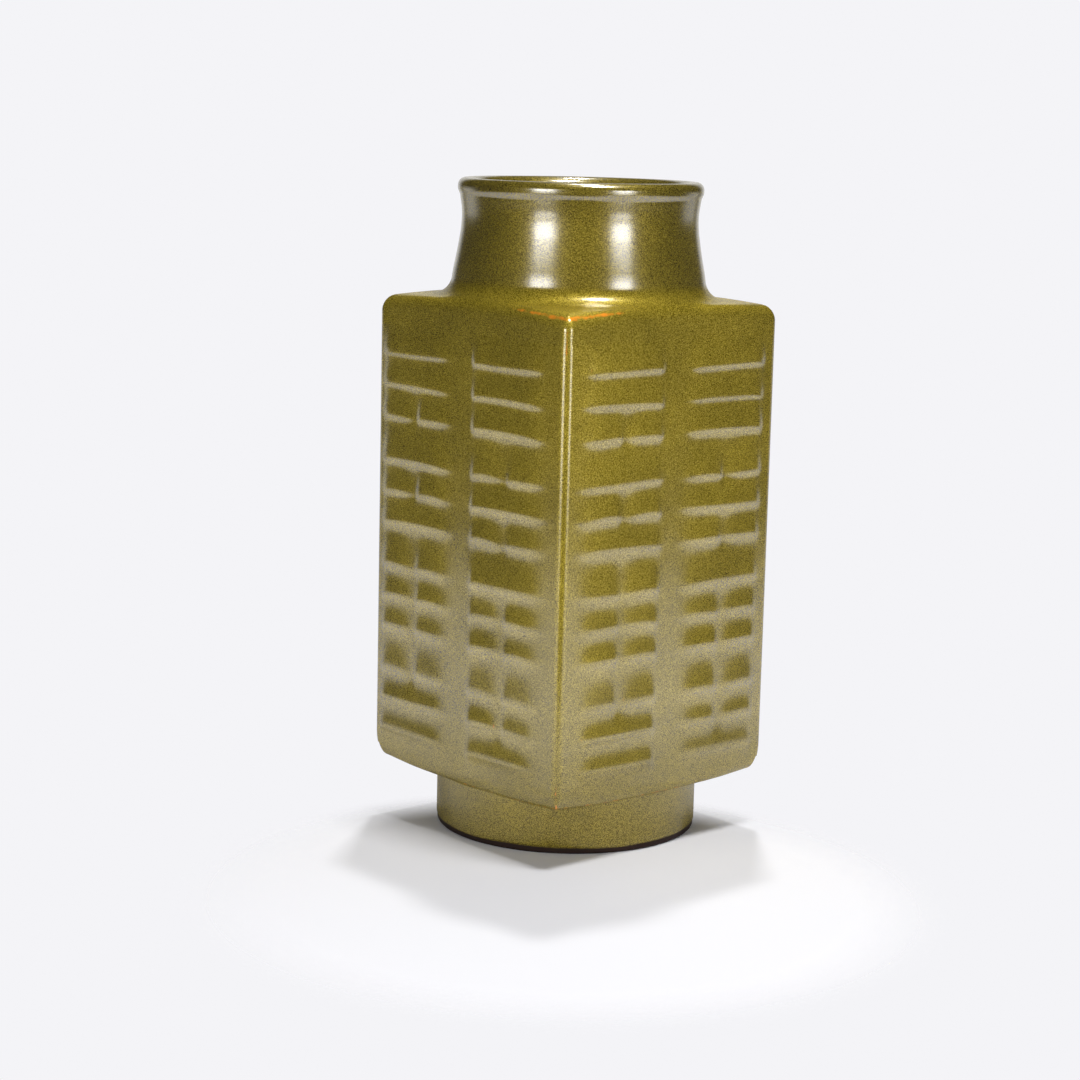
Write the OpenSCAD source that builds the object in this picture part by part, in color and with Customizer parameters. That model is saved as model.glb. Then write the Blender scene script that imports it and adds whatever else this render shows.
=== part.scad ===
// Square cong vase in teadust glaze, after the jade ritual tube.
// A slab-built square body stands on a thrown foot ring and carries a thrown round neck with a rolled lip.
// Each wall bears the eight trigrams in low relief, as clay bars laid on in two columns of four.
// The origin is on the floor at the middle of the foot, +Z is up and the walls face along X and Y.

/* [Body] */
// Width of the square body, wall face to wall face
body_w = 121.4; // [100:0.2:150]
// Height of the body, from its underside to its shoulder
body_h = 204.6; // [196:0.2:260]
// Thickness of the four wall slabs
wall_t = 7; // [4:0.5:10]
// Thickness of the shoulder slab and the floor slab
slab_t = 7; // [5:0.5:8]
// Rounding of the four upright arrises
arris_r = 5; // [4:0.2:8]
// Rounding along the upper and lower edges of the body
edge_r = 3.8; // [1.6:0.2:4]

/* [Neck] */
// Outside radius of the neck at its narrowest
throat_r = 50.4; // [38:0.2:50.4]
// Height of the neck above the shoulder, lip included
neck_h = 50.8; // [40:0.2:70]
// Depth from the rim down to the narrowest place
throat_drop = 14; // [12:0.5:20]
// Lean of the lower neck away from upright, in degrees
neck_lean = 10; // [4:0.5:10]
// Radius of the sweep between the leaning neck and the throat
sweep_r = 60; // [30:1:90]
// Thickness of the neck wall
neck_t = 6.4; // [4:0.2:8]
// Radius of the rolled lip in section
lip_r = 4.5; // [3.6:0.1:6]
// How far the lip stands out past the throat
lip_out = 1.1; // [0.6:0.1:2.5]
// Rounding where the neck meets the shoulder
neck_fillet_r = 3; // [1:0.5:4]

/* [Foot] */
// Outside radius of the foot ring
foot_r = 56.8; // [46:0.2:56.8]
// Height of the foot ring
foot_h = 24.6; // [12:0.2:36]
// Thickness of the foot ring
foot_t = 7.4; // [5:0.2:10]
// Rounding of the two edges that meet the floor
foot_edge_r = 1.2; // [0.4:0.1:2]

/* [Trigrams] */
// Length of an unbroken bar
bar_len = 41; // [24:0.5:42]
// Height of a bar on the wall
bar_h = 10.5; // [6:0.1:12]
// How far a bar stands out of the wall
bar_relief = 1.4; // [0.8:0.1:2]
// Height of the crest above the lower edge of a bar
bar_crest = 3; // [2:0.1:4]
// Rounding of the ends of a bar
bar_end_r = 4; // [3.6:0.2:6]
// Gap in the middle of a broken bar
bar_break = 5; // [3:0.5:8]
// Distance between the bars of one trigram, centre to centre
bar_pitch = 13.6; // [12.6:0.1:15]
// Distance between one trigram and the next, centre to centre
trigram_pitch = 46.2; // [44:0.1:49]
// Gap between the two columns
column_gap = 17.5; // [10:0.5:18]
// Sideways shift of the relief on the front wall
shift_front = -5; // [-5:0.5:5]
// Sideways shift of the relief on the right wall
shift_right = 2; // [-5:0.5:5]
// Sideways shift of the relief on the back wall
shift_back = 0; // [-5:0.5:5]
// Sideways shift of the relief on the left wall
shift_left = 0; // [-5:0.5:5]

/* [Hidden] */
$fn = 96;
half_w = body_w / 2;
shoulder_z = foot_h + body_h;
wall_z = foot_h + slab_t;
wall_h = body_h - 2 * slab_t;
relief_mid_z = foot_h + body_h / 2;
// half the width of the flat part of the shoulder and of the underside
flat_half = half_w - edge_r;
// half the distance between the axes of the rounded arrises
arris_half = half_w - arris_r;
vase_h = shoulder_z + neck_h;

// neck sections
throat_z = vase_h - throat_drop;
sweep_x = throat_r + sweep_r;
lip_z = vase_h - lip_r;
lip_x = throat_r + lip_out - lip_r;
// outer edge of the neck fillet is left blunt by this much
feather = 0.4;

// bar sections
// the end rounding rises this far above the crest before the flanks cut it off
end_rise = 1;
end_drop = bar_end_r - bar_relief - end_rise;
end_inset = sqrt(bar_end_r * bar_end_r - end_drop * end_drop);

// lines of each trigram from the top down, w whole and b broken, in the left column and then in the right one
TRIGRAMS = [
    ["xun", "wwb"], ["li", "wbw"], ["kun", "bbb"], ["dui", "bww"],
    ["qian", "www"], ["kan", "bwb"], ["gen", "wbb"], ["zhen", "bbw"]
];
TRIGRAM_ROWS = 4;
// each wall is a quarter turn on from the one before it, and has its own shift of the relief
WALLS = ["front", "right", "back", "left"];
SHIFTS = [shift_front, shift_right, shift_back, shift_left];
WALL_IDS = [for (id = [0 : len(WALLS) - 1]) id];
TRIGRAM_IDS = [for (id = [0 : len(TRIGRAMS) - 1]) id];
glaze = [0.45, 0.39, 0.14];
pale_glaze = [0.52, 0.46, 0.21];
neck_glaze = [0.40, 0.35, 0.12];
foot_glaze = [0.47, 0.42, 0.23];

function wall_name(wall) = str("wall_", WALLS[wall]);
function trigram_name(wall, figure) = str(WALLS[wall], "_", TRIGRAMS[figure][0], "_trigram");
function neck_tangent(inset) = [
    sweep_x - (sweep_r + inset) * cos(neck_lean),
    throat_z - (sweep_r + inset) * sin(neck_lean)
];
// radius of the leaning neck where it stands on the shoulder
function neck_base_r(inset) =
    neck_tangent(inset).x + (neck_tangent(inset).y - shoulder_z) * tan(neck_lean);

// plan of the body: a square with rounded arrises
module body_plan() {
    square([body_w, 2 * arris_half], center = true);
    square([2 * arris_half, body_w], center = true);
    for (x = [-1, 1], y = [-1, 1])
        translate([x * arris_half, y * arris_half])
            circle(arris_r);
}

// upright section through a slab of full body width, its upper edges rounded
module slab_section() {
    translate([-half_w, 0])
        square([body_w, slab_t - edge_r]);
    translate([-flat_half, 0])
        square([2 * flat_half, slab_t]);
    intersection() {
        for (x = [-1, 1])
            translate([x * flat_half, slab_t - edge_r])
                circle(edge_r);
        translate([-half_w, 0])
            square([body_w, slab_t]);
    }
}

// one rounded corner of a slab, as a turned post
module slab_corner() {
    rotate_extrude() {
        square([arris_r, slab_t - edge_r]);
        square([arris_r - edge_r, slab_t]);
        intersection() {
            translate([arris_r - edge_r, slab_t - edge_r])
                circle(edge_r);
            square([arris_r, slab_t]);
        }
    }
}

// square slab with rounded corners and rounded upper edges, lying on its flat side
module rounded_slab() {
    for (turn = [0, 90])
        rotate([90, 0, turn])
            linear_extrude(2 * arris_half, center = true)
                slab_section();
    for (x = [-1, 1], y = [-1, 1])
        translate([x * arris_half, y * arris_half, 0])
            slab_corner();
}

// slab under the body, upside down so that its rounded edges face the floor
module floor_slab() {
    color(pale_glaze)
        translate([0, 0, wall_z])
            mirror([0, 0, 1])
                rounded_slab();
}

// slab over the body, open under the neck
module shoulder_slab() {
    color(glaze)
        difference() {
            translate([0, 0, wall_z + wall_h])
                rounded_slab();
            translate([0, 0, wall_z])
                cylinder(r = neck_base_r(neck_t), h = vase_h);
        }
}

// one wall slab, mitred at both ends and rounded to half of each arris
module wall_slab(wall) {
    color(glaze)
        rotate([0, 0, 90 * wall])
            translate([0, 0, wall_z])
                linear_extrude(wall_h)
                    intersection() {
                        difference() {
                            body_plan();
                            square(body_w - 2 * wall_t, center = true);
                        }
                        polygon([[0, 0], [-body_w, -body_w], [body_w, -body_w]]);
                    }
}

// half section of the neck down to the shoulder, drawn in by the inset
module neck_half_section(inset) {
    tangent = neck_tangent(inset);
    difference() {
        polygon([
            [0, shoulder_z],
            [neck_base_r(inset), shoulder_z],
            tangent,
            [tangent.x, lip_z],
            [0, lip_z]
        ]);
        translate([sweep_x, throat_z])
            circle(sweep_r + inset);
    }
}

// half section of the rounding at the root of the neck
module neck_fillet_section() {
    base_r = neck_base_r(0);
    centre_h = neck_fillet_r + feather;
    centre_x = base_r + (neck_fillet_r - centre_h * sin(neck_lean)) / cos(neck_lean);
    centre = [centre_x, shoulder_z + centre_h];
    tangent = centre - neck_fillet_r * [cos(neck_lean), sin(neck_lean)];
    difference() {
        polygon([
            [base_r - neck_t / 2, shoulder_z],
            [centre.x, shoulder_z],
            centre,
            tangent,
            [tangent.x - neck_t / 2, tangent.y]
        ]);
        translate(centre)
            circle(neck_fillet_r);
    }
}

// thrown neck with its rolled lip, trimmed where its root would pass the flat of the shoulder
module neck() {
    color(neck_glaze)
        intersection() {
            rotate_extrude() {
                difference() {
                    union() {
                        neck_half_section(0);
                        neck_fillet_section();
                    }
                    neck_half_section(neck_t);
                }
                translate([lip_x, lip_z])
                    circle(lip_r);
            }
            translate([-flat_half, -flat_half, 0])
                cube([2 * flat_half, 2 * flat_half, 2 * vase_h]);
        }
}

// thrown foot ring, its two lower edges softened
module foot_ring() {
    inner_r = foot_r - foot_t;
    color(foot_glaze)
        rotate_extrude() {
            translate([inner_r, foot_edge_r])
                square([foot_t, foot_h - foot_edge_r]);
            translate([inner_r + foot_edge_r, 0])
                square([foot_t - 2 * foot_edge_r, foot_edge_r]);
            for (x = [inner_r + foot_edge_r, foot_r - foot_edge_r])
                translate([x, foot_edge_r])
                    circle(foot_edge_r);
        }
}

// one flank of a bar in section: an arc that climbs from the wall to the crest over its run
module flank(run) {
    radius = (run * run + bar_relief * bar_relief) / (2 * bar_relief);
    intersection() {
        translate([0, bar_relief - radius])
            circle(radius);
        square([2 * run, 2 * bar_relief]);
    }
}

// section across a bar lying on the wall: a short flank below the crest and a long one above it
module bar_section() {
    translate([bar_crest - bar_h / 2, 0]) {
        flank(bar_h - bar_crest);
        mirror([1, 0])
            flank(bar_crest);
    }
}

// section along a bar: a strip with rounded ends, lying on the wall
module strip_section(length) {
    end_x = length / 2 - end_inset;
    intersection() {
        union() {
            translate([-end_x, -end_drop])
                square([2 * end_x, bar_end_r]);
            for (x = [-end_x, end_x])
                translate([x, -end_drop])
                    circle(bar_end_r);
        }
        translate([-length, 0])
            square([2 * length, bar_end_r]);
    }
}

// one bar lying on the ground with its length along X
module bar(length) {
    intersection() {
        rotate([90, 0, 90])
            linear_extrude(2 * length, center = true)
                bar_section();
        rotate([90, 0, 0])
            linear_extrude(2 * bar_h, center = true)
                strip_section(length);
    }
}

// one line of a trigram, whole or broken in the middle
module trigram_line(whole) {
    half_len = (bar_len - bar_break) / 2;
    if (whole)
        bar(bar_len);
    else
        for (side = [-1, 1])
            translate([side * (bar_len - half_len) / 2, 0, 0])
                bar(half_len);
}

// one trigram on its wall
module trigram(wall, figure) {
    lines = TRIGRAMS[figure][1];
    side = figure < TRIGRAM_ROWS ? -1 : 1;
    row = figure % TRIGRAM_ROWS;
    across = SHIFTS[wall] + side * (column_gap + bar_len) / 2;
    up = relief_mid_z + ((TRIGRAM_ROWS - 1) / 2 - row) * trigram_pitch;
    color(pale_glaze)
        rotate([0, 0, 90 * wall])
            translate([across, -half_w, up])
                rotate([90, 0, 0])
                    for (line = [0 : len(lines) - 1])
                        translate([0, ((len(lines) - 1) / 2 - line) * bar_pitch, 0])
                            trigram_line(lines[line] == "w");
}

foot_ring();
floor_slab();
shoulder_slab();
neck();
for (wall = WALL_IDS)
    wall_slab(wall);
for (wall = WALL_IDS, figure = TRIGRAM_IDS)
    trigram(wall, figure);
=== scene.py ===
import math
from collections import namedtuple

import bpy
import numpy as np
from mathutils import Matrix, Vector


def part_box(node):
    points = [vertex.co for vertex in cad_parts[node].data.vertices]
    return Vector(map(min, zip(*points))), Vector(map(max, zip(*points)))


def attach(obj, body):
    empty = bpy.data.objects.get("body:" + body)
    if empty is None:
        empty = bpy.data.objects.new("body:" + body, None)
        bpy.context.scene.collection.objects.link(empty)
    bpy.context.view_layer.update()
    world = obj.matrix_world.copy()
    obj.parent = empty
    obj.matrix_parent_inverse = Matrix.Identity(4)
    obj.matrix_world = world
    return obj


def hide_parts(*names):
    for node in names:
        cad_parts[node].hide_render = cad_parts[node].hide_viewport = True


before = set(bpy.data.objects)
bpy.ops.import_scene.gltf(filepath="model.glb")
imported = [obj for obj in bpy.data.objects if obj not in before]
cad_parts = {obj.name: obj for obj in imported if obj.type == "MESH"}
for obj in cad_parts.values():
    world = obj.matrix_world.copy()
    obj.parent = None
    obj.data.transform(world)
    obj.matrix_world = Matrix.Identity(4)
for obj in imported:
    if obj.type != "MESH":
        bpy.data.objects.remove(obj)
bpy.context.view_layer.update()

MM = 0.001
UP = np.array([0.0, 0.0, 1.0])
FRONT = np.array([0.0, -1.0, 0.0])

# Sizes taken from the frame
wall_low, wall_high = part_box("wall_front")
foot_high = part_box("foot_ring")[1]
HALF_W = -wall_low.y
WALL_T = wall_high.y - wall_low.y
WALL_BASE = wall_low.z
WALL_TOP = wall_high.z
FOOT_R = foot_high.x
UNDERSIDE = foot_high.z
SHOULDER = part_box("shoulder_slab")[1].z
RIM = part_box("neck")[1].z

# Body: rounding of its edges, the crown of its two ends, and a swell that only the walls' normals have
ARRIS_R = 3.8 * MM
TOP_EDGE_R = 4.4 * MM
TOP_CORNER_R = 6.8 * MM
TOP_BAND = 5.0 * MM
BOTTOM_EDGE_R = 3.4 * MM
BOTTOM_CORNER_R = 5.5 * MM
BOTTOM_EDGE_H = 13.0 * MM
CROWN_R = 1200 * MM
SHOULDER_RISE = 1.3 * MM
UNDERSIDE_DROP = 0.2 * MM
SWELL = math.radians(5)

# Neck: how far it leans in, in degrees, by height above the shoulder in millimetres, and its rolled lip
THROAT_R = 50.4 * MM
THROAT_DROP = 14.0 * MM
NECK_LEANS = ((4.0, 8.0), (9.0, 8.0), (14.5, 11.6), (27.0, 8.6), (34.7, 1.0), (37.2, -4.0),
              (40.2, -9.0), (42.7, -8.5), (44.7, 0.0))
NECK_T = 6.4 * MM
NECK_FILLET_R = 7.0 * MM
LIP_OUT = 1.9 * MM
LIP_TOP_R = 3.2 * MM
LIP_FACE = 0.8 * MM
LIP_UNDER_R = 3.0 * MM
LIP_INNER_R = 4.5 * MM
LIP_BLEND = 1.2 * MM
NECK_SEAM = SHOULDER + 6.0 * MM
THROAT_Z = RIM - THROAT_DROP
LIP_Z = RIM - LIP_TOP_R
LIP_X = THROAT_R + LIP_OUT

# Foot: a straight ring whose lowest band is bare of glaze, up to a line of slow waves (count, size, start)
FOOT_T = 7.4 * MM
FOOT_EDGE_R = 1.2 * MM
BARE_H = 3.0 * MM
GLAZE_T = 0.35 * MM
GLAZE_LINE_WAVES = ((5, 0.20 * MM, 0.4), (11, 0.12 * MM, 2.1), (23, 0.06 * MM, 4.4))

# Trigrams: lines from the top down, whole (1) or broken (0)
WALLS = ("front", "right", "back", "left")
TRIGRAMS = {
    "xun": (1, 1, 0), "li": (1, 0, 1), "kun": (0, 0, 0), "dui": (0, 1, 1),
    "qian": (1, 1, 1), "kan": (0, 1, 0), "gen": (1, 0, 0), "zhen": (0, 0, 1),
}
UPPERMOST = ("xun", "qian")
LINES = 3
BAR_H = 10.5 * MM
BAR_BREAK = 5.0 * MM

# Relief of a bar: a steep flank below, a crest, and a long slope above that runs out softly
BAR_RELIEF = 1.25 * MM
CREST_H = 2.0 * MM
CREST_SOFT = 0.8 * MM
FLANK_BELOW = 2.6 * MM
FLANK_ABOVE = 1.0 * MM
UPPER_RUN = 11.0 * MM
LONG_RUN = 15.0 * MM
RUN_OUT = 0.12

# Ends of a bar: soft, most of all towards the front corner, and leaning in as they rise
NEAR_END_SOFT = 4.0 * MM
FAR_END_SOFT = 1.4 * MM
END_LEAN = 0.08
END_SHIFT = 1.25

# Hand work: how unlike the bars are in depth and softness, and how far they tilt and bow
HAND_SEED = 8
HAND_RANGE = (0.8, 1.1)
HAND_TILT = 0.45 * MM

# Normals on the bars' slopes are steeper than the mesh, most of all below the first of these heights
SLOPE_HEIGHTS = (40 * MM, 100 * MM)
SLOPE_GAINS = (2.0, 1.3)

# Thin glaze: how far it has run off each kind of edge, and how wide the thin band is
THIN_ARRIS = 0.50
THIN_ARRIS_ENDS = 0.47
ARRIS_TOP_BAND = 12 * MM
ARRIS_BASE_BAND = 5 * MM
ARRIS_BASE_RISE = 3 * MM
ARRIS_BASE_SHARE = 0.8
THIN_UPPER = 0.9
UPPER_REACH = 42 * MM
UPPER_BAND = 6 * MM
THIN_LOWER = 0.68
OTHER_CORNERS = 0.35
THIN_BAR = 0.66
BAR_END_BAND = 1.0 * MM

# Mesh spacing
ROW_STEP = 0.8 * MM
LINE_STEP = 2.6 * MM
END_LINES = np.linspace(-2.4, 2.4, 9) * MM
LEAST_STEP = 0.25 * MM
ARC_STEPS = 7
RING_STEPS = 14
PROFILE_STEPS = 1200
FILLET_MIDDLE = 0.29
LIP_ROW = LIP_TOP_R / 10
LIP_GAP = 0.1 * MM
LIP_STEPS = 13
THROAT_STEPS = 20
FOOT_STEPS = 24
GLAZE_EDGE_STEPS = 6
FOOT_EDGE_STEPS = 7
UNDER_STEPS = 12
HUB_R = 4 * MM
START_OUT = 0.5 * MM
SETTLE_ROUNDS = 16
DIFFERENCE = 0.01 * MM
WELD = 1e-7


class Shell:
    """A closed skin gathered from patches, each with its own normals, and welded into one mesh."""

    def __init__(self, name):
        self.name = name
        self.points = []
        self.normals = []
        self.thin = []
        self.quads = []
        self.caps = []
        self.count = 0

    def add(self, points, normals, thin):
        first = self.count
        self.points.append(points.reshape(-1, 3))
        self.normals.append(np.broadcast_to(normals, points.shape).reshape(-1, 3))
        self.thin.append(np.broadcast_to(thin, points.shape[:-1]).ravel())
        self.count += self.points[-1].shape[0]
        return first + np.arange(self.points[-1].shape[0]).reshape(points.shape[:-1])

    def patch(self, points, normals, thin=0.0, around=False):
        """Adds a grid of points (rows, columns, 3). around joins its last column to its first."""
        index = self.add(points, normals, thin)
        if around:
            index = np.concatenate([index, index[:, :1]], axis=1)
        corners = (index[:-1, :-1], index[:-1, 1:], index[1:, 1:], index[1:, :-1])
        quads = np.stack(corners, axis=-1).reshape(-1, 4)
        spots = np.concatenate(self.points)[quads]
        facing = np.cross(spots[:, 2] - spots[:, 0], spots[:, 3] - spots[:, 1])
        if (facing * np.concatenate(self.normals)[quads[:, 0]]).sum() < 0:
            quads = quads[:, ::-1]
        self.quads.append(quads)

    def cap(self, loop, normal):
        """Closes a flat loop with one face."""
        index = self.add(loop, normal, 0.0)
        area = np.cross(loop, np.roll(loop, -1, axis=0)).sum(axis=0)
        if area @ normal < 0:
            index = index[::-1]
        self.caps.append(index)

    def build(self, material):
        points = np.concatenate(self.points)
        normals = np.concatenate(self.normals)
        keys = np.round(points / WELD).astype(np.int64)
        _, kept, merged = np.unique(keys, axis=0, return_index=True, return_inverse=True)
        merged = merged.ravel()
        quads = np.concatenate(self.quads)
        faces = merged[quads].tolist() + [merged[cap].tolist() for cap in self.caps]
        corners = np.concatenate([quads.ravel()] + self.caps)
        mesh = bpy.data.meshes.new(self.name)
        mesh.from_pydata(points[kept].tolist(), [], faces)
        mesh.polygons.foreach_set("use_smooth", [True] * len(faces))
        layer = mesh.attributes.new("thin", "FLOAT", "POINT")
        layer.data.foreach_set("value", np.concatenate(self.thin)[kept].astype(np.float32))
        mesh.normals_split_custom_set(normals[corners].tolist())
        mesh.materials.append(material)
        piece = bpy.data.objects.new(self.name, mesh)
        bpy.context.scene.collection.objects.link(piece)
        return piece


def unit(vectors):
    return vectors / np.linalg.norm(vectors, axis=-1, keepdims=True)


def rate(function, value):
    """How fast a function changes at a value."""
    return (function(value + DIFFERENCE) - function(value - DIFFERENCE)) / (2 * DIFFERENCE)


def soft_step(x):
    """Rises softly from 0 to 1 around zero."""
    return 0.5 + 0.5 * np.tanh(0.8 * x)


def bell(distance, width, power=2):
    """1 at no distance, falling to 0 past the width."""
    return np.exp(-(distance / width) ** power)


# The skin as a field: zero on the surface, negative inside
def plan_distance(x, y):
    """Distance from the body's rounded-square outline, seen from above."""
    straight = HALF_W - ARRIS_R
    across = np.abs(x) - straight
    along = np.abs(y) - straight
    corner = np.hypot(np.maximum(across, 0), np.maximum(along, 0))
    return corner + np.minimum(np.maximum(across, along), 0) - ARRIS_R


def rounded_meet(first, second, radius):
    """Inside both fields, with their edge rounded."""
    first = first + radius
    second = second + radius
    edge = np.hypot(np.maximum(first, 0), np.maximum(second, 0))
    return edge + np.minimum(np.maximum(first, second), 0) - radius


def filleted_join(first, second, radius):
    """Inside either field, with a fillet of this radius in their crease."""
    corner = np.hypot(np.maximum(radius - first, 0), np.maximum(radius - second, 0))
    return np.maximum(radius, np.minimum(first, second)) - corner


def smooth_join(first, second, reach):
    """Inside either field, with their crease filled."""
    near = np.maximum(reach - np.abs(first - second), 0) / reach
    return np.minimum(first, second) - near * near * reach / 4


def crown(radius):
    """Rise of a crowned end above its edge."""
    return (HALF_W ** 2 - radius ** 2) / (2 * CROWN_R)


def shoulder_height(radius):
    return SHOULDER + SHOULDER_RISE + crown(radius)


def underside_height(radius):
    return UNDERSIDE - UNDERSIDE_DROP - crown(radius)


def neck_profile():
    """Heights and outer radii of the neck, its leans added up from the rim down."""
    heights, leans = np.array(NECK_LEANS).T
    z = np.linspace(WALL_TOP, RIM, PROFILE_STEPS)
    slope = np.tan(np.radians(np.interp(z, SHOULDER + heights * MM, leans)))
    step = z[1] - z[0]
    spread = np.cumsum(slope[::-1])[::-1] * step
    return z, THROAT_R + spread - np.interp(THROAT_Z, z, spread)


NECK_Z, NECK_R = neck_profile()


def neck_radius(z):
    return np.interp(z, NECK_Z, NECK_R)


def neck_inside(z):
    """Inner radius of the neck below its lip."""
    return neck_radius(min(z, THROAT_Z)) - NECK_T


def corner_share(x, y):
    """0 along the middle of the walls, rising to 1 at their corners."""
    corner = np.clip(np.minimum(np.abs(x), np.abs(y)) / HALF_W * 2 - 1, 0, 1)
    return corner ** 2 * (3 - 2 * corner)


def top_radius(x, y):
    return TOP_EDGE_R + (TOP_CORNER_R - TOP_EDGE_R) * corner_share(x, y)


def bottom_radius(x, y):
    return BOTTOM_EDGE_R + (BOTTOM_CORNER_R - BOTTOM_EDGE_R) * corner_share(x, y)


def body_skin(points):
    """The body up to its shoulder."""
    x, y, z = points[..., 0], points[..., 1], points[..., 2]
    return rounded_meet(plan_distance(x, y), z - shoulder_height(np.hypot(x, y)), top_radius(x, y))


def upper_skin(points):
    """The body's shoulder with the neck and the outside of its lip."""
    radius, z = np.hypot(points[..., 0], points[..., 1]), points[..., 2]
    neck = radius - neck_radius(z)
    neck = np.hypot(np.maximum(neck, 0), np.maximum(SHOULDER - z, 0)) + np.minimum(neck, 0)
    past_face = np.maximum(np.abs(z - LIP_Z + LIP_FACE / 2) - LIP_FACE / 2, 0)
    lip = np.hypot(radius - LIP_X + LIP_UNDER_R, past_face) - LIP_UNDER_R
    return smooth_join(filleted_join(body_skin(points), neck, NECK_FILLET_R), lip, LIP_BLEND)


def lower_skin(points):
    """The body's lower end, whose rounded edge is taller than it is deep."""
    x, y, z = points[..., 0], points[..., 1], points[..., 2]
    under = underside_height(np.hypot(x, y)) - z
    edge_r = bottom_radius(x, y)
    return rounded_meet(plan_distance(x, y), under * edge_r / BOTTOM_EDGE_H, edge_r)


def gradient(skin, points):
    slopes = []
    for axis in np.eye(3) * DIFFERENCE:
        slopes.append((skin(points + axis) - skin(points - axis)) / (2 * DIFFERENCE))
    return np.stack(slopes, axis=-1)


def settle(points, skin, level=False):
    """Moves points onto the skin. level keeps their heights."""
    for _ in range(SETTLE_ROUNDS):
        slope = gradient(skin, points)
        if level:
            slope = slope * (1 - UP)
        points = points - (skin(points) / (slope * slope).sum(axis=-1))[..., None] * slope
    return points


def between(path, shares):
    """Points at even shares along each leg of a path of point arrays."""
    legs = []
    for start, end in zip(path[:-1], path[1:]):
        legs.extend(start + (end - start) * share for share in shares)
    return np.stack(legs + [path[-1]])


def ring(points, radius, z):
    """The points' own directions around the axis, at another radius and height."""
    outward = points[:, :2] / np.linalg.norm(points[:, :2], axis=1, keepdims=True)
    radius = np.broadcast_to(radius, len(points))
    z = np.broadcast_to(z, len(points))
    return np.column_stack([outward * radius[:, None], z])


def ring_normals(skin):
    """Normals of a surface of revolution given as rings, from the run of its profile."""
    radius = np.linalg.norm(skin[..., :2], axis=-1, keepdims=True)
    run = np.gradient(np.concatenate([radius, skin[..., 2:]], axis=-1), axis=0)
    outward = skin[..., :2] / radius
    return unit(np.concatenate([outward * run[..., 1:], -run[..., :1]], axis=-1))


def turned(vectors, wall):
    """Turns vectors of the front wall to another wall."""
    quarter = WALLS.index(wall) * math.pi / 2
    turn = np.array(Matrix.Rotation(quarter, 3, "Z"))
    return vectors @ turn.T


# Walls with their trigrams
Bar = namedtuple("Bar", "left right lower depth left_soft right_soft run tilt bow")


def wall_bars(wall):
    """The bars of one wall, seen from outside. The ends towards the front corner are softer, and the upper
    slope of a trigram's first line runs up into the gap above it."""
    bars = []
    left_soft, right_soft = NEAR_END_SOFT, FAR_END_SOFT
    if wall in ("front", "left"):
        left_soft, right_soft = FAR_END_SOFT, NEAR_END_SOFT
    hand = np.random.default_rng(HAND_SEED + WALLS.index(wall))
    for name, lines in TRIGRAMS.items():
        corners = np.array([tuple(v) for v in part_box(f"{wall}_{name}_trigram")])
        corners = turned(corners, WALLS[-WALLS.index(wall) % len(WALLS)])
        left, right = sorted(corners[:, 0])
        low, high = sorted(corners[:, 2])
        middle = (left + right) / 2
        halves = [(left, middle - BAR_BREAK / 2), (middle + BAR_BREAK / 2, right)]
        pitch = (high - low - BAR_H) / (LINES - 1)
        for row, whole in enumerate(lines):
            lower = high - BAR_H - row * pitch
            run = LONG_RUN if row == 0 and name not in UPPERMOST else UPPER_RUN
            for start, stop in [(left, right)] if whole else halves:
                depth, left_hand, right_hand = hand.uniform(*HAND_RANGE, 3)
                tilt, bow = hand.uniform(-HAND_TILT, HAND_TILT, 2)
                bars.append(Bar(start, stop, lower, depth, left_soft * left_hand,
                                right_soft * right_hand, run, tilt, bow))
    return bars


def relief(u, z, bars):
    """Height of the relief above the wall: each bar has a steep lower flank and a long upper slope."""
    height = np.zeros(np.broadcast(u, z).shape)
    share = FLANK_BELOW / (FLANK_BELOW + FLANK_ABOVE)
    for bar in bars:
        place = np.clip((2 * u - bar.left - bar.right) / (bar.right - bar.left), -1, 1)
        above = z - bar.lower - bar.tilt * place - bar.bow * (place ** 2 - 0.5)
        lean = END_LEAN * np.maximum(above, 0)
        along = soft_step((u - bar.left - END_SHIFT * lean) / (bar.left_soft + lean))
        along = along * soft_step((bar.right - u - END_SHIFT * lean) / (bar.right_soft + lean))
        foot = share * np.exp(np.minimum(above, 0) / FLANK_BELOW)
        crest = 1 - (1 - share) * np.exp(-np.maximum(above, 0) / FLANK_ABOVE)
        past = above - CREST_H
        fall = 1 - (past + np.hypot(past, CREST_SOFT)) / (2 * bar.run)
        fall = (fall + np.hypot(fall, RUN_OUT)) / 2
        height += bar.depth * along * np.where(above < 0, foot, crest) * fall
    return height * BAR_RELIEF


def worn_bars(u, z, bars):
    """How thin the glaze has run over the bars' ends."""
    thin = np.zeros(np.broadcast(u, z).shape)
    for bar in bars:
        body = soft_step((z - bar.lower) / MM) * soft_step((bar.lower + BAR_H / 2 - z) / MM)
        for end in (bar.left, bar.right):
            thin += THIN_BAR * bar.depth * bell(u - end, BAR_END_BAND) * body
    return thin


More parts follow.
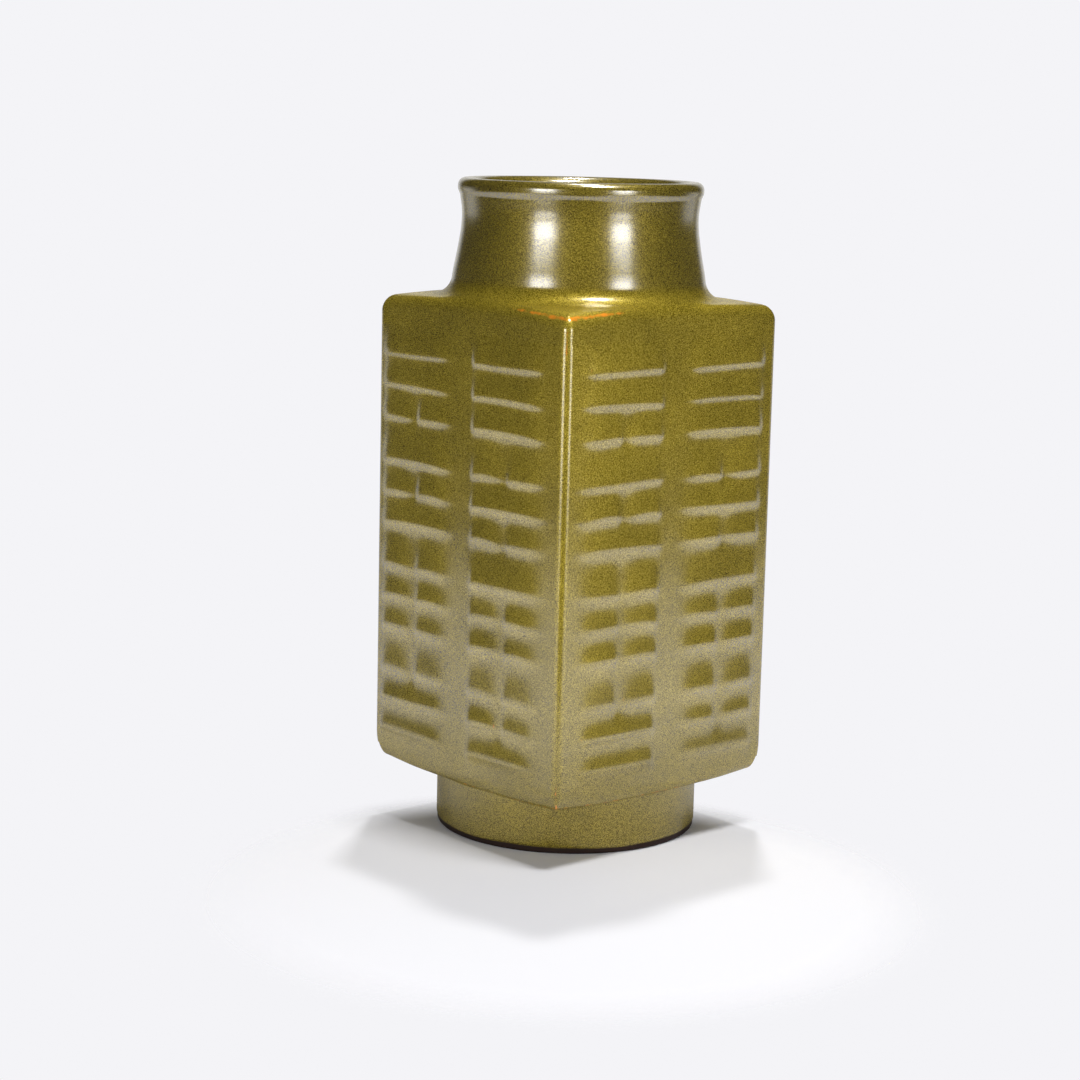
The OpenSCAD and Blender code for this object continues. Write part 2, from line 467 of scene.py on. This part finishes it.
def worn_edges(points, normals):
    """How thin the glaze has run over the body's edges, most of all beside the front corner."""
    side = np.sort(np.abs(points[..., :2]), axis=-1)
    z = points[..., 2]
    up = normals[..., 2]
    flat = np.linalg.norm(normals[..., :2], axis=-1)
    front = OTHER_CORNERS + (1 - OTHER_CORNERS) * (points[..., 0] > 0) * (points[..., 1] < 0)
    across = 2 * np.abs(normals[..., 0] * normals[..., 1]) / np.maximum(flat, 0.3) ** 2
    arris = np.clip(across, 0, 1) ** 6 * (1 - np.clip(2 * up, 0, 1))
    ends = bell(z - WALL_TOP, ARRIS_TOP_BAND)
    ends = ends + ARRIS_BASE_SHARE * bell(z - WALL_BASE - ARRIS_BASE_RISE, ARRIS_BASE_BAND)
    from_corner = np.maximum(HALF_W - side[..., 0], 0)
    upper = THIN_UPPER * np.clip(2 * flat * up, 0, 1) ** 4
    upper = upper * bell(from_corner, UPPER_REACH, 6) * bell(HALF_W - side[..., 1], UPPER_BAND, 4)
    lower = THIN_LOWER * np.clip(-2 * flat * up, 0, 1) ** 4
    return np.clip(arris * (THIN_ARRIS + THIN_ARRIS_ENDS * ends * front) + upper * front + lower, 0, 1)


def wall_lines(bars):
    """Places of the mesh's upright lines: even ones, and closer ones over every bar end."""
    flat = HALF_W - ARRIS_R
    even = np.linspace(-flat, flat, round(2 * flat / LINE_STEP) + 1)
    ends = {round(end, 6) for bar in bars for end in (bar.left, bar.right)}
    close = [end + END_LINES for end in sorted(ends)]
    lines = np.sort(np.concatenate([even[1:-1]] + close))
    lines = lines[np.abs(lines) < flat - LEAST_STEP]
    kept = [-flat]
    for line in lines:
        if line - kept[-1] > LEAST_STEP:
            kept.append(line)
    return np.array(kept + [flat])


def wall_outline(bars):
    """The front wall's outer edge in plan from mitre to mitre: places, the way out from them, and normals
    that let the wall look slightly swollen."""
    flat = HALF_W - ARRIS_R
    lines = wall_lines(bars)
    bend = np.linspace(math.pi / 4, 0, ARC_STEPS + 1)[:-1]
    angles = np.concatenate([-bend, np.zeros(len(lines)), bend[::-1]])
    level = np.zeros(len(angles))
    middles = np.concatenate([np.full(len(bend), -flat), lines, np.full(len(bend), flat)])
    outward = np.column_stack([np.sin(angles), -np.cos(angles), level])
    centres = np.column_stack([middles, np.full(len(angles), -flat), level])
    leaning = angles + SWELL * (1 - np.abs(angles) / (math.pi / 4)) * middles / flat
    normals = np.column_stack([np.sin(leaning), -np.cos(leaning), level])
    return centres + ARRIS_R * outward, outward, normals


def bottom_inset(z, edge_r):
    """How far the wall has turned in towards the rounded bottom edge."""
    share = np.clip(1 - (z - underside_height(HALF_W)) / BOTTOM_EDGE_H, 0, 1)
    return edge_r * (1 - np.sqrt(1 - share ** 2))


def wall_face(bars):
    """The outside of a wall, placed as the front wall is: rows of points, their normals, and how thin the
    glaze is."""
    outline, outward, facing = wall_outline(bars)
    rows = np.linspace(WALL_BASE, WALL_TOP, round((WALL_TOP - WALL_BASE) / ROW_STEP) + 1)
    u, z = outline[None, :, 0], rows[:, None]
    edge_r = bottom_radius(outline[:, 0], outline[:, 1])
    face = np.broadcast_to(outline, (len(rows),) + outline.shape).copy()
    face[..., 2] = z
    face += relief(u, z, bars)[..., None] * FRONT - bottom_inset(z, edge_r)[..., None] * outward
    slope_u = rate(lambda place: relief(place, z, bars), u)
    slope_z = rate(lambda height: relief(u, height, bars), z) * np.interp(z, SLOPE_HEIGHTS, SLOPE_GAINS)
    slope_z = slope_z - rate(lambda height: bottom_inset(height, edge_r), z)
    along = np.column_stack([-facing[:, 1], facing[:, 0], np.zeros(len(facing))])
    normals = facing - (slope_u * along[:, 0])[..., None] * along - slope_z[..., None] * UP
    top = rows > WALL_TOP - TOP_BAND
    face[top] = settle(face[top], body_skin, level=True)
    normals[top] = gradient(body_skin, face[top])
    normals = unit(normals)
    return face, normals, worn_edges(face, normals) + worn_bars(u, z, bars)


def wall_piece(wall, material):
    face, normals, thin = wall_face(wall_bars(wall))
    inner = HALF_W - WALL_T
    inside = np.array([[inner, -inner, 0.0], [-inner, -inner, 0.0]]) + face[:, :1, 2:] * UP
    mitre = math.sqrt(0.5)
    shell = Shell(f"{wall}_wall_glazed")
    shell.patch(turned(face, wall), turned(normals, wall), thin)
    shell.patch(turned(inside, wall), turned(-FRONT, wall))
    for side, edge, corner in ((1, face[:, -1], inside[:, 0]), (-1, face[:, 0], inside[:, 1])):
        strip = np.stack([edge, corner], axis=1)
        shell.patch(turned(strip, wall), turned(np.array([side * mitre, mitre, 0.0]), wall))
    for row, normal in ((0, -UP), (-1, UP)):
        shell.cap(turned(np.concatenate([face[row], inside[row]]), wall), normal)
    piece = shell.build(material)
    nodes = [f"wall_{wall}"] + [f"{wall}_{name}_trigram" for name in TRIGRAMS]
    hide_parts(*nodes)
    return piece, turned(face[-1], wall), turned(face[0], wall)


# Shoulder, neck, floor and foot, made of rings around the axis
def shoulder_piece(rim_points, material):
    radius = np.linalg.norm(rim_points[:, :2], axis=1)
    neck_foot = neck_radius(SHOULDER + SHOULDER_RISE)
    in_fillet = FILLET_MIDDLE * NECK_FILLET_R
    path = [
        rim_points,
        ring(rim_points, radius, shoulder_height(radius)),
        ring(rim_points, neck_foot + in_fillet, shoulder_height(neck_foot) + in_fillet),
        ring(rim_points, neck_radius(NECK_SEAM), NECK_SEAM),
    ]
    skin = between(path, np.arange(RING_STEPS) / RING_STEPS)
    skin[1:-1] = settle(skin[1:-1], upper_skin)
    skin[-1] = settle(skin[-1], upper_skin, level=True)
    bore = neck_radius(SHOULDER) - NECK_T
    inner = np.stack([ring(rim_points, neck_inside(NECK_SEAM), NECK_SEAM),
                      ring(rim_points, bore, SHOULDER),
                      ring(rim_points, bore, WALL_TOP)])
    normals = unit(gradient(upper_skin, skin))
    shell = Shell("shoulder_glazed")
    shell.patch(skin, normals, worn_edges(skin, normals), around=True)
    shell.patch(np.stack([skin[-1], inner[0]]), UP, around=True)
    shell.patch(inner, -unit(inner * (1 - UP)), around=True)
    shell.patch(np.stack([inner[-1], rim_points]), -UP, around=True)
    piece = shell.build(material)
    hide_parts("shoulder_slab")
    return piece, skin[-1]


def lip_rings(seam):
    """The lip from its outer face over the top to the inside."""
    turn = np.linspace(0, math.pi / 2, LIP_STEPS)
    roll_x, inner_x, inner_z = LIP_X - LIP_TOP_R, LIP_X - LIP_INNER_R, RIM - LIP_INNER_R
    outer = [ring(seam, roll_x + LIP_TOP_R * math.cos(a), LIP_Z + LIP_TOP_R * math.sin(a)) for a in turn]
    inner = [ring(seam, inner_x - LIP_INNER_R * math.sin(a), inner_z + LIP_INNER_R * math.cos(a))
             for a in turn]
    return np.stack(outer + inner)


def throat_rings(seam):
    """The neck's inside from the lip down to the seam."""
    lip_in, lip_z = LIP_X - 2 * LIP_INNER_R, RIM - LIP_INNER_R
    throat_in = neck_inside(THROAT_Z)
    rings = []
    for depth in np.linspace(0, 1, LIP_STEPS)[1:]:
        ease = (1 - math.cos(depth * math.pi)) / 2
        rings.append(ring(seam, lip_in + (throat_in - lip_in) * ease, lip_z - depth * (lip_z - THROAT_Z)))
    rings += [ring(seam, neck_inside(z), z) for z in np.linspace(THROAT_Z, NECK_SEAM, THROAT_STEPS)[1:]]
    return np.stack(rings)


def neck_piece(seam, material):
    lip_low = LIP_Z - 2 * LIP_TOP_R
    heights = np.concatenate([np.arange(NECK_SEAM, lip_low, ROW_STEP)[1:],
                              np.arange(lip_low, LIP_Z - LIP_GAP, LIP_ROW)])
    wall = np.stack([ring(seam, neck_radius(z) + START_OUT, z) for z in heights])
    wall = np.concatenate([seam[None], settle(wall, upper_skin, level=True)])
    skin = np.concatenate([wall, lip_rings(seam), throat_rings(seam)])
    normals = ring_normals(skin)
    normals[:len(wall)] = unit(gradient(upper_skin, wall))
    shell = Shell("neck_glazed")
    shell.patch(skin, normals, around=True)
    shell.patch(np.stack([skin[-1], seam]), -UP, around=True)
    piece = shell.build(material)
    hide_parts("neck")
    return piece


def floor_piece(base_points, material):
    radius = np.linalg.norm(base_points[:, :2], axis=1)
    path = [
        base_points,
        ring(base_points, radius, underside_height(radius)),
        ring(base_points, FOOT_R, underside_height(FOOT_R)),
    ]
    skin = between(path, np.arange(RING_STEPS) / RING_STEPS)
    skin[1:-1] = settle(skin[1:-1], lower_skin)
    under = np.stack([ring(base_points, r, underside_height(r))
                      for r in np.linspace(FOOT_R, HUB_R, UNDER_STEPS)])
    normals = unit(gradient(lower_skin, skin))
    shell = Shell("floor_glazed")
    shell.patch(skin, normals, worn_edges(skin, normals), around=True)
    shell.patch(under, -UP, around=True)
    shell.cap(under[-1], -UP)
    shell.cap(base_points, UP)
    piece = shell.build(material)
    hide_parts("floor_slab")
    return piece


def glaze_line(angle):
    """Height of the wavering lower edge of the glaze on the foot."""
    return BARE_H + sum(size * np.sin(count * angle + start) for count, size, start in GLAZE_LINE_WAVES)


def foot_piece(base_points, material):
    line = glaze_line(np.arctan2(base_points[:, 1], base_points[:, 0]))
    bare_r = FOOT_R - GLAZE_T
    inner_r = FOOT_R - FOOT_T
    top = underside_height(FOOT_R)
    inner_top = underside_height(inner_r)
    glaze = [ring(base_points, FOOT_R, top + (line + GLAZE_T - top) * share)
             for share in np.linspace(0, 1, FOOT_STEPS)]
    for a in np.linspace(0, math.pi / 2, GLAZE_EDGE_STEPS)[1:]:
        glaze.append(ring(base_points, bare_r + GLAZE_T * math.cos(a), line + GLAZE_T * (1 - math.sin(a))))
    bare = [ring(base_points, bare_r, FOOT_EDGE_R + (line - FOOT_EDGE_R) * share) for share in (0.66, 0.33)]
    edge = np.linspace(0, math.pi / 2, FOOT_EDGE_STEPS)
    for start, way, turn in ((bare_r, -1, edge), (inner_r, 1, edge[::-1])):
        for a in turn:
            radius = start + way * FOOT_EDGE_R * (1 - math.cos(a))
            bare.append(ring(base_points, radius, FOOT_EDGE_R * (1 - math.sin(a))))
    inside = [ring(base_points, inner_r, FOOT_EDGE_R + (inner_top - FOOT_EDGE_R) * share)
              for share in np.linspace(0, 1, UNDER_STEPS)[1:]]
    skin = np.stack(glaze + bare + inside)
    unglazed = np.zeros(skin.shape[:2])
    unglazed[len(glaze):len(glaze) + len(bare) + 1] = 1.0
    shell = Shell("foot_glazed")
    shell.patch(skin, ring_normals(skin), unglazed, around=True)
    shell.patch(np.stack([skin[-1], skin[0]]), UP, around=True)
    piece = shell.build(material)
    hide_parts("foot_ring")
    return piece


class Tree:
    """The nodes of a material or of the world, with short ways to add some."""

    def __init__(self, owner):
        owner.use_nodes = True
        self.nodes = owner.node_tree.nodes
        self.links = owner.node_tree.links

    def feed(self, socket, value):
        """Links another node's socket, or sets a number or a colour."""
        if isinstance(value, bpy.types.NodeSocket):
            self.links.new(value, socket)
        elif isinstance(value, tuple):
            socket.default_value = (*value, 1)
        else:
            socket.default_value = value

    def place(self, kind="Object"):
        return self.nodes.new("ShaderNodeTexCoord").outputs[kind]

    def noise(self, place, scale, detail=2.0, rough=0.5):
        node = self.nodes.new("ShaderNodeTexNoise")
        node.inputs["Scale"].default_value = scale
        node.inputs["Detail"].default_value = detail
        node.inputs["Roughness"].default_value = rough
        self.links.new(place, node.inputs["Vector"])
        return node.outputs["Fac"]

    def ramp(self, value, stops):
        node = self.nodes.new("ShaderNodeValToRGB")
        band = node.color_ramp
        band.elements[0].position, band.elements[0].color = stops[0][0], (*stops[0][1], 1)
        band.elements[1].position, band.elements[1].color = stops[-1][0], (*stops[-1][1], 1)
        for position, colour in stops[1:-1]:
            band.elements.new(position).color = (*colour, 1)
        self.links.new(value, node.inputs["Fac"])
        return node.outputs["Color"]

    def mix(self, share, first, second, kind="MIX"):
        node = self.nodes.new("ShaderNodeMix")
        node.data_type = "RGBA"
        node.blend_type = kind
        self.feed(node.inputs["Factor"], share)
        self.feed(node.inputs[6], first)
        self.feed(node.inputs[7], second)
        return node.outputs[2]

    def maths(self, kind, *values, clamp=False):
        node = self.nodes.new("ShaderNodeMath")
        node.operation = kind
        node.use_clamp = clamp
        for socket, value in zip(node.inputs, values):
            self.feed(socket, value)
        return node.outputs["Value"]

    def vector_maths(self, kind, first, second):
        node = self.nodes.new("ShaderNodeVectorMath")
        node.operation = kind
        self.links.new(first, node.inputs[0])
        node.inputs[1].default_value = second
        return node.outputs["Value"]

    def height_in(self, place):
        apart = self.nodes.new("ShaderNodeSeparateXYZ")
        self.links.new(place, apart.inputs[0])
        return apart.outputs["Z"]

    def by_height(self, place, stops):
        """A grey value that changes with the height, which counts from 0 at the floor to 1 at the rim."""
        share = self.maths("DIVIDE", self.height_in(place), RIM)
        return self.ramp(share, [(height, (value,) * 3) for height, value in stops])

    def eased(self, value, limits, results):
        """Follows a value smoothly between two limits, from one result to the other."""
        node = self.nodes.new("ShaderNodeMapRange")
        node.interpolation_type = "SMOOTHSTEP"
        for socket, number in zip(node.inputs, (value, *limits, *results)):
            self.feed(socket, number)
        return node.outputs["Result"]


# Glaze: colours, painted light and shade that change with the height, and how its gloss changes with the
# height
DARK_FLECK = (0.085, 0.060, 0.001)
OLIVE = (0.255, 0.188, 0.006)
YELLOW_FLECK = (0.65, 0.50, 0.060)
THIN_GLAZE = (0.95, 0.34, 0.025)
BARE_CLAY = (0.040, 0.026, 0.022)
CLOUD_STOPS = ((0.3, (0.86, 0.86, 0.84)), (0.7, (1.1, 1.1, 1.12)))
FLECK_STOPS = ((0.395, DARK_FLECK), (0.50, OLIVE), (0.605, YELLOW_FLECK))
FLECK_TURN = (0.6, 0.4, 0.9)
FLECK_SCALE = 4000
CLOUD_SCALE = 38
PATCH_SCALE = 260
PEEL_SCALE = 1500
PEEL_DEPTH = 0.2 * MM
# Painted light and shade in the base colour by height: brighter on the walls, darker on the foot, the neck
# and the lip's top
PAINTED_LIGHT_AND_SHADE_BY_HEIGHT = ((0, 0.71), (0.1, 0.85), (0.15, 0.98), (0.22, 1.11), (0.36, 1.17), (0.5, 1.27),
                  (0.7, 1.36), (0.8, 1.19), (0.85, 0.85), (0.98, 0.85), (0.99, 0.7), (1, 0.55))
GLOSS_BY_HEIGHT = ((0, 0.28), (0.09, 0.4), (0.135, 0.54), (0.19, 0.76), (0.25, 0.84), (0.8, 0.88),
                   (0.82, 0.28), (0.84, 0.28), (0.855, 1.15), (0.99, 1.15), (1, 0.7))
GLOSS_FACING = 0.9
GLOSS_LEAST = 0.50
SPARKLE = 1.2
SPARKLE_LEAST = 0.4
THIN_FROM = 1.2
THIN_SHARPNESS = 5.0


def glaze_colour_with_painted_light(tree, place, flecks):
    """Fine yellow flecks in a darker ground, with slow clouds, under painted light and shade that change
    with the height.
    """
    colour = tree.ramp(flecks, FLECK_STOPS)
    shade = tree.ramp(tree.noise(place, CLOUD_SCALE, 3.0), CLOUD_STOPS)
    colour = tree.mix(1.0, colour, shade, "MULTIPLY")
    # Painted light and shade by height, multiplied into the colour
    return tree.mix(1.0, colour, tree.by_height(place, PAINTED_LIGHT_AND_SHADE_BY_HEIGHT), "MULTIPLY")


def glaze_gloss(tree, place, flecks):
    """Weight of the clear coat, which is greater at a flat angle and on the bright flecks."""
    weight = tree.nodes.new("ShaderNodeLayerWeight")
    gloss = tree.maths("MULTIPLY_ADD", weight.outputs["Facing"], GLOSS_FACING, GLOSS_LEAST)
    gloss = tree.maths("MULTIPLY", gloss, tree.by_height(place, GLOSS_BY_HEIGHT))
    sparkle = tree.maths("MULTIPLY_ADD", flecks, SPARKLE, SPARKLE_LEAST)
    return tree.maths("MULTIPLY", gloss, sparkle, clamp=True)


def glaze_peel(tree, place):
    """Slight unevenness of the surface."""
    bump = tree.nodes.new("ShaderNodeBump")
    bump.inputs["Strength"].default_value = 0.1
    bump.inputs["Distance"].default_value = PEEL_DEPTH
    tree.links.new(tree.noise(place, PEEL_SCALE, 3.0), bump.inputs["Height"])
    return bump.outputs["Normal"]


def teadust(name, bare_band=False):
    """Olive teadust glaze, rust-brown where it has run thin, or with a bare band on the foot."""
    material = bpy.data.materials.new(name)
    tree = Tree(material)
    shader = tree.nodes["Principled BSDF"]
    place = tree.place()
    askew = tree.nodes.new("ShaderNodeMapping")
    askew.inputs["Rotation"].default_value = FLECK_TURN
    tree.links.new(place, askew.inputs["Vector"])
    flecks = tree.noise(askew.outputs["Vector"], FLECK_SCALE, 0.0)
    colour = glaze_colour_with_painted_light(tree, place, flecks)
    gloss = glaze_gloss(tree, place, flecks)
    thin = tree.nodes.new("ShaderNodeAttribute")
    thin.attribute_name = "thin"
    thin = thin.outputs["Fac"]
    if bare_band:
        colour = tree.mix(thin, colour, BARE_CLAY)
        gloss = tree.maths("MULTIPLY", gloss, tree.maths("SUBTRACT", 1.0, thin))
    else:
        share = tree.maths("ADD", tree.noise(place, PATCH_SCALE, 3.0, 0.65), thin)
        share = tree.maths("SUBTRACT", share, THIN_FROM)
        share = tree.maths("MULTIPLY", share, THIN_SHARPNESS, clamp=True)
        colour = tree.mix(share, colour, THIN_GLAZE)
    peel = glaze_peel(tree, place)
    tree.links.new(colour, shader.inputs["Base Color"])
    tree.links.new(gloss, shader.inputs["Coat Weight"])
    tree.links.new(peel, shader.inputs["Normal"])
    tree.links.new(peel, shader.inputs["Coat Normal"])
    shader.inputs["Metallic"].default_value = 0.56
    shader.inputs["Roughness"].default_value = 0.5
    shader.inputs["Specular IOR Level"].default_value = 0.0
    shader.inputs["Coat Roughness"].default_value = 0.2
    shader.inputs["Coat IOR"].default_value = 3.0
    return material


# Stage: floor, surroundings, lights and camera, in metres and degrees
FLOOR_R = 0.72
FLOOR_RINGS = (0.06, 0.12, 0.2, 0.36, 0.55, FLOOR_R)
FLOOR_STEPS = 96
FLOOR_FRONT = 0.36
BACK_REACH = 1.2
BACK_LIMITS = (0.25, 0.55)
NOTCH_HALF = 0.10
NOTCH_FLARE = 1.2
FLOOR_FADE = (0.115, 0.155)
FADE_CENTRE = 0.11
FLOOR_COLOUR = (0.895, 0.895, 0.93)
BACKDROP = (0.905, 0.903, 0.93)

# Surroundings: what the vase mirrors is dark, but white behind it, and fairly light low at its sides
AMBIENT = 0.10
GLOSSY_DARK = 0.02
GLOSSY_BACK = 0.95
GLOSSY_LOW = 0.6
BACK_FROM = (0.84, 0.95)
LOW_UP_TO = (-0.06, 0.0)
LOW_FROM = (0.35, 0.6)
LOW_TILL = (0.74, 0.88)

Light = namedtuple("Light", "name angle distance height aim width tall power")
LIGHTS = (
    Light("key_light", 34, 0.25, 0.95, 0.0, 0.15, 0.15, 4.95),
    Light("back_light", 176, 1.5, 4.4, 0.05, 0.26, 0.26, 60),
    Light("left_softbox", -33, 0.95, 0.365, 0.26, 0.32, 0.24, 1.93),
    Light("right_softbox", 39, 0.95, 0.365, 0.26, 0.29, 0.24, 1.67),
    Light("left_strip", -33, 0.95, 0.105, 0.105, 0.32, 0.15, 0.6),
    Light("right_strip", 39, 0.95, 0.105, 0.105, 0.29, 0.15, 0.52),
)

CAMERA_AZIMUTH = math.radians(47.58)
CAMERA_DISTANCE = 1.0752
CAMERA_HEIGHT = 0.30951
CAMERA_YAW = math.radians(0.74)
CAMERA_PITCH = math.radians(9.77)
CAMERA_ROLL = math.radians(1.36)
CAMERA_FOCAL = 2507.9
PHOTO_W = 1080
SENSOR_W = 36.0


def around(angle, distance, height):
    """A place around the vase, by its angle from the camera's side, to the right as the camera sees it."""
    bearing = CAMERA_AZIMUTH + math.radians(angle)
    return Vector((math.sin(bearing) * distance, -math.cos(bearing) * distance, height))


def add_camera():
    data = bpy.data.cameras.new("camera")
    data.sensor_width = SENSOR_W
    data.lens = CAMERA_FOCAL * SENSOR_W / PHOTO_W
    camera = bpy.data.objects.new("camera", data)
    heading = CAMERA_AZIMUTH + CAMERA_YAW
    forward = Vector((-math.sin(heading) * math.cos(CAMERA_PITCH),
                      math.cos(heading) * math.cos(CAMERA_PITCH), -math.sin(CAMERA_PITCH)))
    level = Vector((math.cos(heading), math.sin(heading), 0))
    upright = level.cross(forward)
    right = math.cos(CAMERA_ROLL) * level + math.sin(CAMERA_ROLL) * upright
    up = -math.sin(CAMERA_ROLL) * level + math.cos(CAMERA_ROLL) * upright
    turn = Matrix((right, up, -forward)).transposed().to_4x4()
    camera.matrix_world = Matrix.Translation(around(0, CAMERA_DISTANCE, CAMERA_HEIGHT)) @ turn
    bpy.context.scene.collection.objects.link(camera)
    bpy.context.scene.camera = camera


def add_light(light):
    data = bpy.data.lights.new(light.name, "AREA")
    data.shape = "RECTANGLE"
    data.size = light.width
    data.size_y = light.tall
    data.energy = light.power
    lamp = bpy.data.objects.new(light.name, data)
    lamp.location = around(light.angle, light.distance, light.height)
    towards = Vector((0, 0, light.aim)) - lamp.location
    lamp.rotation_euler = towards.to_track_quat("-Z", "Y").to_euler()
    bpy.context.scene.collection.objects.link(lamp)


def add_world():
    world = bpy.data.worlds.new("studio")
    bpy.context.scene.world = world
    tree = Tree(world)
    path = tree.nodes.new("ShaderNodeLightPath").outputs
    direction = tree.place("Generated")
    behind = tree.vector_maths("DOT_PRODUCT", direction, around(180, 1.0, 0))
    back = tree.eased(behind, BACK_FROM, (GLOSSY_DARK, GLOSSY_BACK))
    low = tree.eased(tree.height_in(direction), LOW_UP_TO, (GLOSSY_LOW, 0.0))
    low = tree.maths("MULTIPLY", low, tree.eased(behind, LOW_FROM, (0.0, 1.0)))
    low = tree.maths("MULTIPLY", low, tree.eased(behind, LOW_TILL, (1.0, 0.0)))
    surround = tree.maths("MAXIMUM", back, low)
    glossy = tree.maths("MAXIMUM", path["Is Glossy Ray"], path["Is Transmission Ray"])
    strength = tree.mix(glossy, (AMBIENT,) * 3, surround)
    strength = tree.mix(path["Is Camera Ray"], strength, BACKDROP)
    tree.links.new(strength, tree.nodes["Background"].inputs["Color"])


def floor_point(radius, angle):
    """A point of the floor, which reaches further back and is notched in front."""
    front = around(0, 1.0, 0)
    point = radius * Vector((math.cos(angle), math.sin(angle), 0))
    if radius > FLOOR_FRONT:
        start, stop = BACK_LIMITS
        behind = min(max((-point.dot(front) / radius - start) / (stop - start), 0), 1)
        point *= 1 + (BACK_REACH - 1) * behind
    aside = (point - point.dot(front) * front).length
    edge = FLOOR_FRONT + NOTCH_FLARE * max(aside - NOTCH_HALF, 0)
    return point - max(point.dot(front) - edge, 0) * front


def floor_paper():
    """White paper that fades into the white surroundings and is clear from below."""
    material = bpy.data.materials.new("floor_paper")
    tree = Tree(material)
    shader = tree.nodes["Principled BSDF"]
    shader.inputs["Base Color"].default_value = (*FLOOR_COLOUR, 1)
    shader.inputs["Roughness"].default_value = 0.9
    shader.inputs["Specular IOR Level"].default_value = 0.0
    away = tree.vector_maths("DISTANCE", tree.place(), around(0, FADE_CENTRE, 0))
    fade = tree.eased(away, FLOOR_FADE, (0.0, 1.0))
    path = tree.nodes.new("ShaderNodeLightPath").outputs
    geometry = tree.nodes.new("ShaderNodeNewGeometry").outputs
    gone = tree.maths("MULTIPLY", fade, path["Is Camera Ray"])
    gone = tree.maths("MAXIMUM", gone, geometry["Backfacing"])
    clear = tree.nodes.new("ShaderNodeBsdfTransparent")
    blend = tree.nodes.new("ShaderNodeMixShader")
    tree.links.new(gone, blend.inputs[0])
    tree.links.new(shader.outputs[0], blend.inputs[1])
    tree.links.new(clear.outputs[0], blend.inputs[2])
    tree.links.new(blend.outputs[0], tree.nodes["Material Output"].inputs["Surface"])
    return material


def add_floor():
    turn = np.linspace(0, 2 * math.pi, FLOOR_STEPS, endpoint=False)
    points = [floor_point(radius, angle) for radius in FLOOR_RINGS for angle in turn]
    faces = [list(range(FLOOR_STEPS))]
    for start in range(0, len(points) - FLOOR_STEPS, FLOOR_STEPS):
        for i in range(FLOOR_STEPS):
            j = (i + 1) % FLOOR_STEPS
            faces.append([start + i, start + FLOOR_STEPS + i, start + FLOOR_STEPS + j, start + j])
    mesh = bpy.data.meshes.new("floor")
    mesh.from_pydata(points, [], faces)
    mesh.materials.append(floor_paper())
    floor = bpy.data.objects.new("floor", mesh)
    bpy.context.scene.collection.objects.link(floor)


def build_vase():
    glaze = teadust("teadust_glaze")
    foot_glaze = teadust("teadust_foot", bare_band=True)
    pieces, tops, bases = [], [], []
    for wall in WALLS:
        piece, top, base = wall_piece(wall, glaze)
        pieces.append(piece)
        tops.append(top[:-1])
        bases.append(base[:-1])
    top_edge = np.concatenate(tops)
    base_edge = np.concatenate(bases)
    shoulder, seam = shoulder_piece(top_edge, glaze)
    pieces += [shoulder, neck_piece(seam, glaze), floor_piece(base_edge, glaze)]
    pieces.append(foot_piece(base_edge, foot_glaze))
    for piece in pieces:
        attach(piece, "root")


build_vase()
add_floor()
add_world()
for light in LIGHTS:
    add_light(light)
add_camera()
bpy.context.scene.view_settings.view_transform = "Standard"
